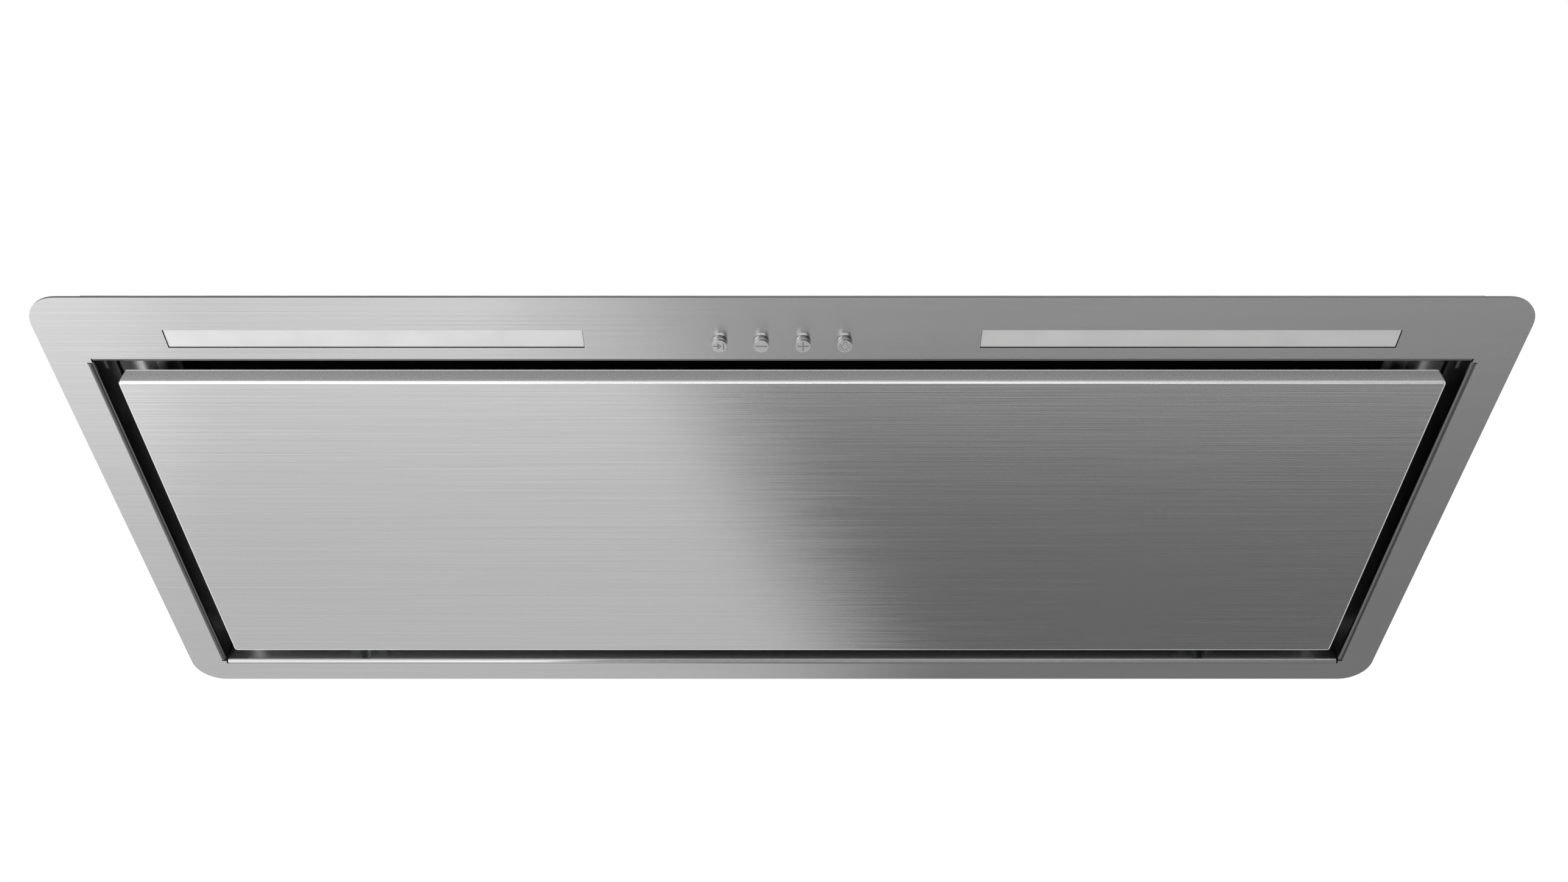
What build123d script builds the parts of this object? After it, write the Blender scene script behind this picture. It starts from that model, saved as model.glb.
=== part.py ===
from build123d import *
from math import acos, cos, degrees, radians, sin
import os

# Built-in range hood with perimeter suction, in millimetres.
# X runs to the right and Y to the rear, seen by a person at the hob. Z is up.
# The origin is the centre of the cabinet cut-out, in the plane where the face frame meets the cabinet.

# Face frame
frame_width = 700.0
frame_depth = 282.0
frame_sheet = 1.2
frame_corner = 16.0
side_band = 20.5
front_band = 38.3
rear_band = 17.0
frame_bend = 2.5
return_top = 26.0
corner_slit = 0.6
corner_tab_length = 11.2
corner_tab_height = 4.6
corner_tab_z = 8.6

# Recess ceiling and the throat that leads up to the filters
recess_depth = 19.0
ceiling_sheet = 1.0
ceiling_edge_bend = 1.5
throat_from_side = 29.5
throat_from_front = 16.7
throat_from_rear = 26.0
throat_bend = 10.0
throat_top = 44.0

# Perimeter panel
panel_side_gap = 7.5
panel_front_gap = 11.8
panel_rear_gap = 9.3
panel_sheet = 1.0
panel_lip = 9.3
panel_corner = 2.0
panel_bend = 1.5
tab_reach = 13.0
tab_length = 6.0
stiffener_end_gap = 22.0
stiffener_width = 40.0
stiffener_height = 5.0
stiffener_crown = 9.0
stiffener_sheet = 0.8

# Panel hinges
hinge_from_side = 72.0
hinge_height = 6.2
hinge_from_rear = 5.7
hinge_pin_radius = 1.5
hinge_eye = 3.0
hinge_tongue = 2.0
hinge_shoulder = 8.1
hinge_ear = 1.5
hinge_ear_gap = 0.4
hinge_leaf_width = 24.0
hinge_leaf_depth = 16.0
hinge_leaf_sheet = 1.0
hinge_foot_sheet = 1.5
hinge_foot_depth = 13.0
running_gap = 0.05
seat_gap = 0.3

# Panel magnets
magnet_from_front = 31.0
magnet_width = 9.5
magnet_length = 14.0

# Lights
light_length = 196.8
light_width = 10.5
light_from_side = 59.8
light_inset = 23.95
lens_recess = 0.5
lens_gap = 0.3
lens_flange = 2.0
lens_flange_reach = 2.6
channel_wall = 1.2
channel_height = 14.0
channel_gap = 0.3
led_board_sheet = 1.6
led_size = 3.5
led_height = 0.8
led_count = 10

# Buttons
button_radius = 3.5
button_pitch = 19.6
button_inset = 25.1
button_proud = 4.2
button_travel = 1.5
button_gap = 0.12
button_flange = 9.0
button_flange_height = 1.2
button_flange_z = 6.0
stem_width = 3.0
stem_top = 14.0
carrier_width = 92.0
carrier_depth = 19.0
carrier_height = 9.5
carrier_post = 6.0
board_z = 17.0
board_sheet = 1.6
switch_size = 9.0
switch_gap = 1.5

# Body box
frame_over_side = 16.5
frame_over_end = 13.0
body_height = 70.0
body_sheet = 1.0
side_hole_spacing = 160.0
side_hole_radius = 2.25
side_hole_z = 40.0
spring_width = 24.0
spring_sheet = 0.8
spring_top = 62.0

# Grease filters
filter_gap = 0.7
filter_z = 33.0
filter_height = 9.0
filter_rail = 14.0
filter_front_rail = 20.0
filter_lip = 1.4
mesh_gap = 0.3
mesh_sheet = 1.0
mesh_pitch = 12.0
lug_width = 12.0
lug_spacing = 160.0
lug_reach = 3.5
latch_width = 39.4
latch_depth = 10.0
latch_height = 2.6
latch_z = 35.3
latch_nose_width = 12.0
latch_travel = 5.0
latch_tab_width = 24.0
latch_tab_drop = 8.0
latch_gap = 0.3

# Motor tower and duct collar
tower_from_side = 168.5
tower_depth = 230.0
tower_top = 262.0
tower_sheet = 0.8
tower_flange = 12.0
tower_flange_end = 8.0
tower_screw_spacing = 138.0
tower_opening_gap = 10.0
outlet_step = 4.0
adapter_rim = 6.0
collar_radius = 75.0
collar_sheet = 0.8
collar_height = 45.0
collar_flange = 7.0
collar_y = 30.0
flap_pin_z = 276.0
flap_pin_radius = 1.5
flap_knuckle = 3.0
knuckle_length = 14.0
flap_sheet = 0.8
flap_rim_gap = 1.0
flap_edge = 4.0
flap_stop = 2.4

# Blower
fan_y = -28.0
fan_z = 158.0
wheel_radius = 65.0
wheel_length = 86.0
wheel_disc = 1.6
wheel_ring = 1.2
blade_count = 28
blade_sheet = 0.8
blade_root = 53.0
blade_lead = 6.0
blade_bow = 2.4
hub_radius = 10.0
hub_length = 11.0
shaft_radius = 4.0
volute_start = 77.0
volute_step = 12.0
tongue_angle = 65.0
tongue_nose = 1.5
scroll_width = 100.0
scroll_sheet = 0.8
scroll_top = 228.0
inlet_radius = 55.0
inlet_flare = 6.0
motor_radius = 42.0
motor_length = 58.0
bracket_hub = 32.0
bracket_sheet = 2.0
bracket_arm = 14.0
bracket_reach = 54.0
grommet_radius = 6.0
grommet_length = 6.0
back_hole_radius = 16.0

# Electronics
box_width = 120.0
box_depth = 110.0
box_height = 40.0
box_wall = 2.0
box_from_side = 18.5
box_centre_y = 15.0
lid_height = 2.0
boss_reach = 4.0
board_posts = 38.0
board_post = 6.0
board_end = 8.0
board_side = 14.0
board_rise = 5.0
board_margin = 6.0
transformer_side = 30.0
transformer_height = 24.0
transformer_shift = 12.0
relay_side = 12.0
relay_length = 16.0
relay_height = 15.0
relay_pitch = 40.0
terminal_length = 26.0
terminal_side = 10.0
capacitor_radius = 13.0
capacitor_length = 56.0
capacitor_gap = 4.0
gland_bore = 4.2
gland_neck = 8.0
gland_flange = 11.0
gland_nut = 5.0
gland_dome = 12.0
gland_height = 21.0

# Screw heads
screw_head = 3.6
screw_head_height = 2.0

# Places worked out from the sizes above
face_z = -frame_sheet
body_width = frame_width - 2 * frame_over_side
body_depth = frame_depth - 2 * frame_over_end
tower_width = body_width - 2 * tower_from_side
wall_x = frame_width / 2 - side_band
wall_front = -frame_depth / 2 + front_band
wall_rear = frame_depth / 2 - rear_band
ceiling_z = face_z + recess_depth
throat_x = wall_x - throat_from_side
throat_front = wall_front + throat_from_front
throat_rear = wall_rear - throat_from_rear
panel_x = wall_x - panel_side_gap
panel_front = wall_front + panel_front_gap
panel_rear = wall_rear - panel_rear_gap
panel_floor = face_z + panel_sheet
lip_top = face_z + panel_lip
stiffener_length = 2 * (panel_x - stiffener_end_gap)
hinge_x = panel_x - hinge_from_side
hinge_y = panel_rear - hinge_from_rear
hinge_z = face_z + hinge_height
light_centre = frame_width / 2 - light_from_side - light_length / 2
light_y = -frame_depth / 2 + light_inset
button_y = -frame_depth / 2 + button_inset
body_top = body_height - body_sheet
outlet_left = fan_y - volute_step / 2 + volute_start * cos(radians(tongue_angle))
outlet_right = fan_y + volute_step / 2 + volute_start + 2 * volute_step
scroll_end = scroll_width / 2 + scroll_sheet
wheel_back = wheel_length / 2
motor_start = scroll_end + grommet_length + bracket_sheet
motor_end = motor_start + motor_length
lid_top = body_height + body_sheet + box_height + lid_height
box_centre_x = box_from_side + (box_width - body_width) / 2
fan_plane = Plane(origin=(0, fan_y, fan_z), x_dir=(0, 1, 0), z_dir=(1, 0, 0))
nodes = {}


def block(x, y, z):
    """A box between the two ends given for each axis."""
    size = [abs(b - a) for a, b in (x, y, z)]
    middle = [(a + b) / 2 for a, b in (x, y, z)]
    return Pos(*middle) * Box(*size)


def about(centre, width):
    """The two ends of a width around a centre."""
    return centre - width / 2, centre + width / 2


def rod(start, direction, radius, length):
    """A cylinder that begins at a point and runs along a direction."""
    ends = (Align.CENTER, Align.CENTER, Align.MIN)
    return Plane(origin=start, z_dir=direction) * Cylinder(radius, length, align=ends)


def tube(start, direction, outer, inner, length):
    """A cylinder with a bore all through it."""
    return rod(start, direction, outer, length) - rod(start, direction, inner, length)


def yz_plane(x):
    """The plane across X, with Y to its right and Z up."""
    return Plane(origin=(x, 0, 0), x_dir=(0, 1, 0), z_dir=(1, 0, 0))


def xz_plane(y):
    """The plane across Y, with X to its right and Z up. It faces the front."""
    return Plane(origin=(0, y, 0), x_dir=(1, 0, 0), z_dir=(0, -1, 0))


def sheet_along_x(points, radii, sheet, x0, x1):
    """Folded sheet with its middle line given in Y and Z, running from x0 to x1."""
    line = FilletPolyline(*points, radius=radii)
    return extrude(yz_plane(x0) * trace(line, line_width=sheet), x1 - x0)


def sheet_along_y(points, radii, sheet, y0, y1):
    """Folded sheet with its middle line given in X and Z, running from y0 to y1."""
    line = FilletPolyline(*points, radius=radii)
    return extrude(xz_plane(y1) * trace(line, line_width=sheet), y1 - y0)


def tray(x, y, z, wall, open_low=True):
    """A box with five walls, open at its low or its high end."""
    inside_x = (x[0] + wall, x[1] - wall)
    inside_y = (y[0] + wall, y[1] - wall)
    inside_z = (z[0], z[1] - wall) if open_low else (z[0] + wall, z[1])
    return block(x, y, z) - block(inside_x, inside_y, inside_z)


def hexagon(start, direction, radius, length):
    """A six-sided prism that begins at a point and runs along a direction."""
    plane = Plane(origin=start, z_dir=direction)
    return extrude(plane * RegularPolygon(radius, 6), length)


def screw_heads(starts, direction):
    """Hexagonal screw heads, each seated at its start point."""
    return Part() + [hexagon(start, direction, screw_head, screw_head_height) for start in starts]


def spread(count, pitch):
    """Evenly spaced places about zero."""
    return [(i - (count - 1) / 2) * pitch for i in range(count)]


hinge_places = (-hinge_x, hinge_x)
button_places = spread(4, button_pitch)
sides = {"left": -1, "right": 1}
hinge_screw_starts = [
    (x + dx, throat_rear + throat_bend + hinge_foot_depth / 2 + 1, ceiling_z - hinge_foot_sheet)
    for x in hinge_places
    for dx in spread(2, hinge_leaf_width - 8)
]
tower_screw_starts = [
    (x, y, body_height + body_sheet + tower_sheet)
    for x in spread(2, tower_width + tower_flange)
    for y in spread(2, tower_screw_spacing)
]
bracket_screw_starts = [
    (
        motor_start,
        fan_y + bracket_reach * cos(radians(angle)),
        fan_z + bracket_reach * sin(radians(angle)),
    )
    for angle in (30, 150, 270)
]


# Face frame: flat plate with bent-up returns round its opening, two windows and four button holes
def make_trim_frame():
    outline = RectangleRounded(frame_width, frame_depth, frame_corner)
    plate = Pos(0, 0, face_z) * extrude(outline, frame_sheet)
    cut_x = (-wall_x - frame_bend, wall_x + frame_bend)
    cut_y = (wall_front - frame_bend, wall_rear + frame_bend)
    cut_z = (face_z - 1, 1)
    plate -= block(cut_x, (wall_front, wall_rear), cut_z)
    plate -= block((-wall_x, wall_x), cut_y, cut_z)
    for side in sides.values():
        plate -= block(about(side * light_centre, light_length), about(light_y, light_width), cut_z)
    for x in button_places:
        plate -= rod((x, button_y, face_z - 1), (0, 0, 1), button_radius + button_gap, 3)
    middle = face_z + frame_sheet / 2
    half = frame_sheet / 2
    bend = frame_bend - half
    tail = frame_bend + 0.5
    returns = []
    for side in sides.values():
        points = [
            (side * (wall_x + tail), middle),
            (side * (wall_x + half), middle),
            (side * (wall_x + half), return_top),
        ]
        ends = (wall_front + corner_slit, wall_rear - corner_slit)
        returns.append(sheet_along_y(points, bend, frame_sheet, *ends))
    for wall, outward in ((wall_front, -1), (wall_rear, 1)):
        points = [
            (wall + outward * tail, middle),
            (wall + outward * half, middle),
            (wall + outward * half, return_top),
        ]
        ends = (-wall_x + corner_slit, wall_x - corner_slit)
        returns.append(sheet_along_x(points, bend, frame_sheet, *ends))
    for side in sides.values():
        tab_x = (side * (wall_x - 0.8), side * wall_x)
        tab_y = (wall_front - 0.4, wall_front + corner_tab_length)
        returns.append(block(tab_x, tab_y, (corner_tab_z, corner_tab_z + corner_tab_height)))
    return plate + returns


# Recess ceiling: a ring with an upturned outer edge and a rounded throat, mitred at its four corners
def make_recess_ceiling():
    half = ceiling_sheet / 2
    middle = ceiling_z + half
    wall = throat_bend - half
    far = frame_width

    def wedge(corners):
        return Pos(0, 0, ceiling_z - 1) * extrude(make_face(Polyline(*corners, close=True)), throat_top)

    ring = []
    flat_y = (wall_front + ceiling_edge_bend, wall_rear - ceiling_edge_bend)
    flat_x = wall_x - ceiling_edge_bend
    for side in sides.values():
        points = [
            (side * flat_x, middle),
            (side * (throat_x + half), middle),
            (side * (throat_x + half), throat_top),
        ]
        strip = sheet_along_y(points, wall, ceiling_sheet, *flat_y)
        corners = [
            (side * throat_x, throat_front),
            (side * (throat_x + far), throat_front - far),
            (side * (throat_x + far), throat_rear + far),
            (side * throat_x, throat_rear),
        ]
        ring.append(strip & wedge(corners))
    for edge, outward, limit in ((throat_front, -1, flat_y[0]), (throat_rear, 1, flat_y[1])):
        points = [(limit, middle), (edge + outward * half, middle), (edge + outward * half, throat_top)]
        strip = sheet_along_x(points, wall, ceiling_sheet, -flat_x, flat_x)
        corners = [
            (-throat_x, edge),
            (-throat_x - far, edge + outward * far),
            (throat_x + far, edge + outward * far),
            (throat_x, edge),
        ]
        ring.append(strip & wedge(corners))
    bend = ceiling_edge_bend - half
    for side in sides.values():
        points = [
            (side * (flat_x - 1), middle),
            (side * (wall_x - half), middle),
            (side * (wall_x - half), return_top),
        ]
        ring.append(sheet_along_y(points, bend, ceiling_sheet, *flat_y))
    for limit, outward in ((wall_front, -1), (wall_rear, 1)):
        points = [
            (limit - outward * (ceiling_edge_bend + 1), middle),
            (limit - outward * half, middle),
            (limit - outward * half, return_top),
        ]
        ring.append(sheet_along_x(points, bend, ceiling_sheet, -flat_x, flat_x))
    ceiling = ring[0] + ring[1:]
    slots = []
    for side in sides.values():
        centre = side * filter_centre()
        slot_z = (latch_z - latch_gap, latch_z + latch_height + latch_gap)
        slots.append(block(about(centre, latch_nose_width + 1), (throat_front - 2, throat_front + 1), slot_z))
        for x in spread(2, lug_spacing):
            slots.append(block(about(centre + x, lug_width + 1), (throat_rear - 1, throat_rear + 2), slot_z))
    return ceiling - slots


# Perimeter panel: a shallow tray with rounded corners and folded tabs on its lips
def make_panel():
    outside = block((-panel_x, panel_x), (panel_front, panel_rear), (face_z, lip_top))
    outside = fillet(outside.edges().filter_by(Axis.Z), panel_corner)
    outside = fillet(outside.faces().sort_by(Axis.Z)[0].edges(), panel_bend)
    inner_x = panel_x - panel_sheet
    inner_y = (panel_front + panel_sheet, panel_rear - panel_sheet)
    inside = block((-inner_x, inner_x), inner_y, (panel_floor, lip_top + 5))
    panel = outside - inside
    tab_z = (lip_top - panel_sheet, lip_top)
    for side in sides.values():
        tab_x = (side * (panel_x - panel_sheet / 2), side * (panel_x - tab_reach))
        panel += block(tab_x, about(panel_front + magnet_from_front, magnet_length), tab_z)
        corner_x = (side * (panel_x - panel_corner), side * (panel_x - tab_reach))
        panel += block(corner_x, (panel_front + panel_sheet / 2, panel_front + tab_length), tab_z)
    for x in hinge_places:
        slot_y = (panel_rear - 2 * panel_sheet, panel_rear + 1)
        panel -= block(about(x, hinge_tongue + 4), slot_y, (panel_floor + panel_bend, lip_top + 1))
    return panel


# Stiffener: a hat section across the tray floor
def make_stiffener():
    wide = stiffener_width / 2
    high = stiffener_height - stiffener_sheet
    lower = [(-wide, 0), (-stiffener_crown - high, 0), (-stiffener_crown, high)]
    lower += [(-y, z) for y, z in reversed(lower)]
    upper = [(y, z + stiffener_sheet) for y, z in reversed(lower)]
    outline = Pos(0, panel_floor) * make_face(Polyline(*lower, *upper, close=True))
    return extrude(yz_plane(-stiffener_length / 2) * outline, stiffener_length)


# Hinge parts: a tongue on a foot under the ceiling, and a leaf with two ears on the tray floor
def make_hinge_bracket(x):
    foot_y = (throat_rear + throat_bend + 1, throat_rear + throat_bend + 1 + hinge_foot_depth)
    foot_z = (ceiling_z - hinge_foot_sheet, ceiling_z)
    foot = block(about(x, hinge_leaf_width), foot_y, foot_z)
    outline = Polyline(
        (hinge_y - hinge_eye, hinge_z - hinge_eye / 2),
        (hinge_y - hinge_eye, foot_z[1]),
        (foot_y[1], foot_z[1]),
        (foot_y[1], foot_z[0]),
        (hinge_y + hinge_eye, hinge_z + hinge_shoulder),
        (hinge_y + hinge_eye, hinge_z - hinge_eye / 2),
        (hinge_y + hinge_eye / 2, hinge_z - hinge_eye),
        (hinge_y - hinge_eye / 2, hinge_z - hinge_eye),
        close=True,
    )
    tongue = extrude(yz_plane(x - hinge_tongue / 2) * make_face(outline), hinge_tongue)
    bore = rod((x - 5, hinge_y, hinge_z), (1, 0, 0), hinge_pin_radius + running_gap, 10)
    return foot + tongue - bore


def make_hinge_leaf(x):
    leaf_y = (hinge_y + hinge_eye - hinge_leaf_depth, hinge_y + hinge_eye)
    leaf = block(about(x, hinge_leaf_width), leaf_y, (panel_floor, panel_floor + hinge_leaf_sheet))
    near = hinge_tongue / 2 + hinge_ear_gap
    for start in (x - near - hinge_ear, x + near):
        ends = (start, start + hinge_ear)
        leaf += block(ends, about(hinge_y, 2 * hinge_eye), (panel_floor, hinge_z + hinge_eye))
    return leaf - rod((x - 10, hinge_y, hinge_z), (1, 0, 0), hinge_pin_radius, 20)


def make_hinge_pin(x):
    reach = hinge_tongue / 2 + hinge_ear_gap + hinge_ear
    return rod((x - reach, hinge_y, hinge_z), (1, 0, 0), hinge_pin_radius, 2 * reach)


def make_magnet(side):
    far = panel_x - panel_sheet - 0.5
    x = (side * far, side * (far - magnet_width))
    y = about(panel_front + magnet_from_front, magnet_length)
    return block(x, y, (lip_top + seat_gap, ceiling_z))


# Lights: frosted lens, channel and LED board on each side of the buttons
def make_lens(side):
    x = side * light_centre
    insert_z = (face_z + lens_recess, 0)
    lens = block(about(x, light_length - 2 * lens_gap), about(light_y, light_width - 2 * lens_gap), insert_z)
    flange_x = about(x, light_length + 2 * lens_flange_reach)
    flange_y = about(light_y, light_width + 2 * lens_flange_reach)
    return lens + block(flange_x, flange_y, (0, lens_flange))


def make_channel(side):
    grow = 2 * (lens_flange_reach + channel_gap + channel_wall)
    x = about(side * light_centre, light_length + grow)
    y = about(light_y, light_width + grow)
    return tray(x, y, (0, channel_height), channel_wall)


def make_led_board(side):
    top = channel_height - channel_wall
    x = side * light_centre
    board_y = about(light_y, light_width)
    board = block(about(x, light_length), board_y, (top - led_board_sheet, top))
    for dx in spread(led_count, light_length / led_count):
        low = top - led_board_sheet - led_height
        board += block(about(x + dx, led_size), about(light_y, led_size), (low, low + led_height))
    return board


# Buttons: a round metal cap on a square retaining flange, with a stem that enters its switch
def make_button(x):
    low = face_z - button_proud
    cap = rod((x, button_y, low), (0, 0, 1), button_radius, button_flange_z - low)
    flange_z = (button_flange_z, button_flange_z + button_flange_height)
    cap += block(about(x, button_flange), about(button_y, button_flange), flange_z)
    return cap + block(about(x, stem_width), about(button_y, stem_width), (flange_z[1], stem_top))


def make_button_carrier():
    y = about(button_y, carrier_depth)
    carrier = block(about(0, carrier_width), y, (0, carrier_height))
    for side in sides.values():
        post_x = (side * carrier_width / 2, side * (carrier_width / 2 - carrier_post))
        carrier += block(post_x, y, (0, board_z))
    trough_x = 2 * button_places[-1] + button_flange + 1
    trough_z = (button_flange_z - 0.2, carrier_height + 1)
    carrier -= block(about(0, trough_x), about(button_y, button_flange + 0.5), trough_z)
    guide = 2 * (button_radius + button_gap)
    guide_z = (-1, button_flange_z)
    return carrier - [block(about(x, guide), about(button_y, guide), guide_z) for x in button_places]


def make_switch_board():
    z = (board_z, board_z + board_sheet)
    return block(about(0, carrier_width), about(button_y, carrier_depth), z)


def make_push_switches():
    low = button_flange_z + button_flange_height + button_travel + switch_gap
    switches = []
    for x in button_places:
        housing = block(about(x, switch_size), about(button_y, switch_size), (low, board_z))
        bore = stem_width + 0.2
        switches.append(housing - block(about(x, bore), about(button_y, bore), (low - 1, board_z - 0.8)))
    return Part() + switches


# Body box: open below, with an opening under the motor tower
def make_body_box():
    body = tray(about(0, body_width), about(0, body_depth), (0, body_height + body_sheet), body_sheet)
    opening_x = about(0, tower_width - 2 * tower_opening_gap)
    opening_y = about(0, tower_depth - 2 * tower_opening_gap)
    body -= block(opening_x, opening_y, (body_top, body_height + 2 * body_sheet))
    for y in spread(2, side_hole_spacing):
        start = (-body_width / 2 - 1, y, side_hole_z)
        body -= rod(start, (1, 0, 0), side_hole_radius, body_width + 2)
    return body


def make_cabinet_spring(side):
    root = body_width / 2 + spring_sheet / 2
    points = [
        (side * root, spring_top),
        (side * root, spring_top - 13),
        (side * (root + 6.5), spring_top - 30),
        (side * (root + 2.5), spring_top - 40),
    ]
    return sheet_along_y(points, 3, spring_sheet, *about(0, spring_width))


# Grease filters: a frame with a front latch and rear lugs round a corrugated mesh pad
def filter_centre():
    return (throat_x - filter_gap + 0.5) / 2


def filter_half():
    return (throat_x - filter_gap - 0.5) / 2


def filter_ends():
    return throat_front + filter_gap, throat_rear - filter_gap


def mesh_room():
    """The opening of the frame in Y, between its front and rear rails."""
    front, rear = filter_ends()
    return front + filter_front_rail, rear - filter_rail


def make_filter_frame(side):
    centre = side * filter_centre()
    front, rear = filter_ends()
    top = filter_z + filter_height
    frame = block(about(centre, 2 * filter_half()), (front, rear), (filter_z, top))
    room_x = 2 * (filter_half() - filter_rail)
    frame -= block(about(centre, room_x), mesh_room(), (filter_z - 1, top + 1))
    low, high = mesh_room()
    groove_z = (filter_z + filter_lip, top - filter_lip)
    frame -= block(about(centre, room_x + 12), (low - 3, high + 6), groove_z)
    pocket_y = (front - 1, front + latch_depth + latch_travel + 1)
    pocket_z = (latch_z - latch_gap, latch_z + latch_height + latch_gap)
    frame -= block(about(centre, latch_width + 0.6), pocket_y, pocket_z)
    slot_y = (front + 1, front + 4.5 + latch_travel)
    frame -= block(about(centre, latch_tab_width + 1), slot_y, (filter_z - 1, latch_z))
    for x in spread(2, lug_spacing):
        lug_z = (latch_z, latch_z + latch_height)
        frame += block(about(centre + x, lug_width), (rear - 1, rear + lug_reach), lug_z)
    return frame


def make_mesh_pad(side):
    centre = side * filter_centre()
    half_x = filter_half() - filter_rail + 6 - mesh_gap
    low, high = mesh_room()
    low -= 3 - mesh_gap
    high += 6 - mesh_gap
    middle = filter_z + filter_height / 2
    rise = filter_height / 2 - filter_lip - mesh_gap - mesh_sheet
    count = int((high - low) / mesh_pitch)
    step = (high - low) / (2 * count)
    lower = [(low + i * step, middle + rise * (-1) ** i - mesh_sheet) for i in range(2 * count + 1)]
    upper = [(y, z + 2 * mesh_sheet) for y, z in reversed(lower)]
    outline = make_face(Polyline(*lower, *upper, close=True))
    return extrude(yz_plane(centre - half_x) * outline, 2 * half_x)


def make_filter_latch(side):
    centre = side * filter_centre()
    front = filter_ends()[0] + 0.3
    z = (latch_z, latch_z + latch_height)
    latch = block(about(centre, latch_width), (front, front + latch_depth), z)
    latch += block(about(centre, latch_nose_width), (throat_front - 3.5, front + 1), z)
    tab_y = (front + 2, front + 4)
    return latch + block(about(centre, latch_tab_width), tab_y, (latch_z - latch_tab_drop, latch_z + 1))


# Motor tower over the opening of the body box
def make_motor_tower():
    base = body_height + body_sheet
    tower = tray(about(0, tower_width), about(0, tower_depth), (base, tower_top), tower_sheet)
    return tower - rod((0, collar_y, tower_top - 5), (0, 0, 1), collar_radius - outlet_step, 10)


# Flange round the foot of the tower, screwed to the body box
def make_tower_flange():
    base = body_height + body_sheet
    outside_x = about(0, tower_width + 2 * tower_flange)
    outside_y = about(0, tower_depth + 2 * tower_flange_end)
    flange = block(outside_x, outside_y, (base, base + tower_sheet))
    return flange - block(about(0, tower_width), about(0, tower_depth), (base - 1, base + 2))


def make_outlet_adapter():
    top = tower_top - tower_sheet
    low_x = scroll_width + 2 * scroll_sheet
    low_y = outlet_right - outlet_left + 2 * scroll_sheet
    low_centre = (outlet_right + outlet_left) / 2
    high = 2 * collar_radius - outlet_step

    def funnel(shrink):
        low = Pos(0, low_centre, scroll_top) * Rectangle(low_x - shrink, low_y - shrink)
        high_face = Pos(0, collar_y, top) * Rectangle(high - shrink, high - shrink)
        return loft([low, high_face], ruled=True)

    wide = high + 2 * adapter_rim
    rim = block(about(0, wide), about(collar_y, wide), (top - scroll_sheet, top))
    rim -= block(about(0, high - 1), about(collar_y, high - 1), (top - 2, top + 1))
    return funnel(0) - funnel(2 * scroll_sheet) + rim


def make_duct_collar():
    start = (0, collar_y, tower_top)
    inner = collar_radius - collar_sheet
    collar = tube(start, (0, 0, 1), collar_radius, inner, collar_height)
    collar += tube(start, (0, 0, 1), collar_radius + collar_flange, inner, collar_sheet)
    stop_z = (flap_pin_z - flap_sheet / 2 - flap_stop - seat_gap, flap_pin_z - flap_sheet / 2 - seat_gap)
    for outward in (-1, 1):
        stop_y = (collar_y + outward * (inner - flap_stop), collar_y + outward * (inner + 0.3))
        collar += block(about(0, 8), stop_y, stop_z)
    hole = 2 * flap_pin_radius + 0.04
    return collar - block(about(0, 2 * collar_radius + 2), about(collar_y, hole), about(flap_pin_z, hole))


def make_flap_pin():
    reach = collar_radius - 0.1
    return rod((-reach, collar_y, flap_pin_z), (1, 0, 0), flap_pin_radius, 2 * reach)


# Backdraft flap: half a disc on knuckles round the pin
def make_flap(outward, knuckles):
    radius = collar_radius - collar_sheet - flap_rim_gap
    disc = rod((0, 0, -flap_sheet / 2), (0, 0, 1), radius, flap_sheet)
    disc -= block((-100, 100), (-100, flap_edge), (-5, 5))
    for x in knuckles:
        low, high = about(x, knuckle_length)
        disc += block((low, high), (flap_knuckle - 1, flap_edge + 1), about(0, flap_sheet))
        disc += hexagon((low, 0, 0), (1, 0, 0), flap_knuckle, knuckle_length)
        disc -= rod((low - 1, 0, 0), (1, 0, 0), flap_pin_radius + running_gap, knuckle_length + 2)
    turn = Rot(0, 0, 0) if outward > 0 else Rot(0, 0, 180)
    return Pos(0, collar_y, flap_pin_z) * turn * disc


# Scroll: a volute of three arcs about stepped centres, so that each meets the next in line
def volute(grow):
    """The volute's edges, pushed outward by grow, from the tongue's duct wall round to the other."""
    step = volute_step / 2
    left = outlet_left - grow - fan_y
    right = outlet_right + grow - fan_y
    top = scroll_top - fan_z
    first = volute_start + grow
    start = degrees(acos((left + step) / first))
    tongue_z = first * sin(radians(start)) - step
    return [
        Line((left, top), (left, tongue_z)),
        CenterArc((-step, -step), first, start, 180 - start),
        CenterArc((step, -step), first + volute_step, 180, 90),
        CenterArc((step, step), first + 2 * volute_step, 270, 90),
        Line((right, step), (right, top)),
    ]


def make_scroll_wrap():
    middle = volute(scroll_sheet / 2)
    wrap = extrude(fan_plane * trace(middle, line_width=scroll_sheet), scroll_width / 2, both=True)
    nose_y = outlet_left
    nose_z = middle[0] @ 1
    start = (-scroll_width / 2, nose_y, fan_z + nose_z.Y)
    return wrap + rod(start, (1, 0, 0), tongue_nose, scroll_width)


def make_scroll_side(side, hole_radius):
    edges = volute(scroll_sheet)
    lid = Line(edges[-1] @ 1, edges[0] @ 0)
    plane = fan_plane.offset(side * scroll_width / 2)
    return extrude(plane * (make_face(edges + [lid]) - Circle(hole_radius)), side * scroll_sheet)


# Inlet side: its hole has a mouth that leads the air into the wheel
def make_inlet_side():
    wide = inlet_radius + inlet_flare
    plate = make_scroll_side(-1, wide)
    near = -scroll_width / 2
    far = near - scroll_sheet
    inner = near + inlet_flare
    outline = Polyline(
        (near, wide + 1),
        (inner, inlet_radius + scroll_sheet),
        (inner, inlet_radius),
        (far, wide),
        (far, wide + 1),
        close=True,
    )
    return plate + Pos(0, fan_y, fan_z) * revolve(make_face(outline), Axis.X)


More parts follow.
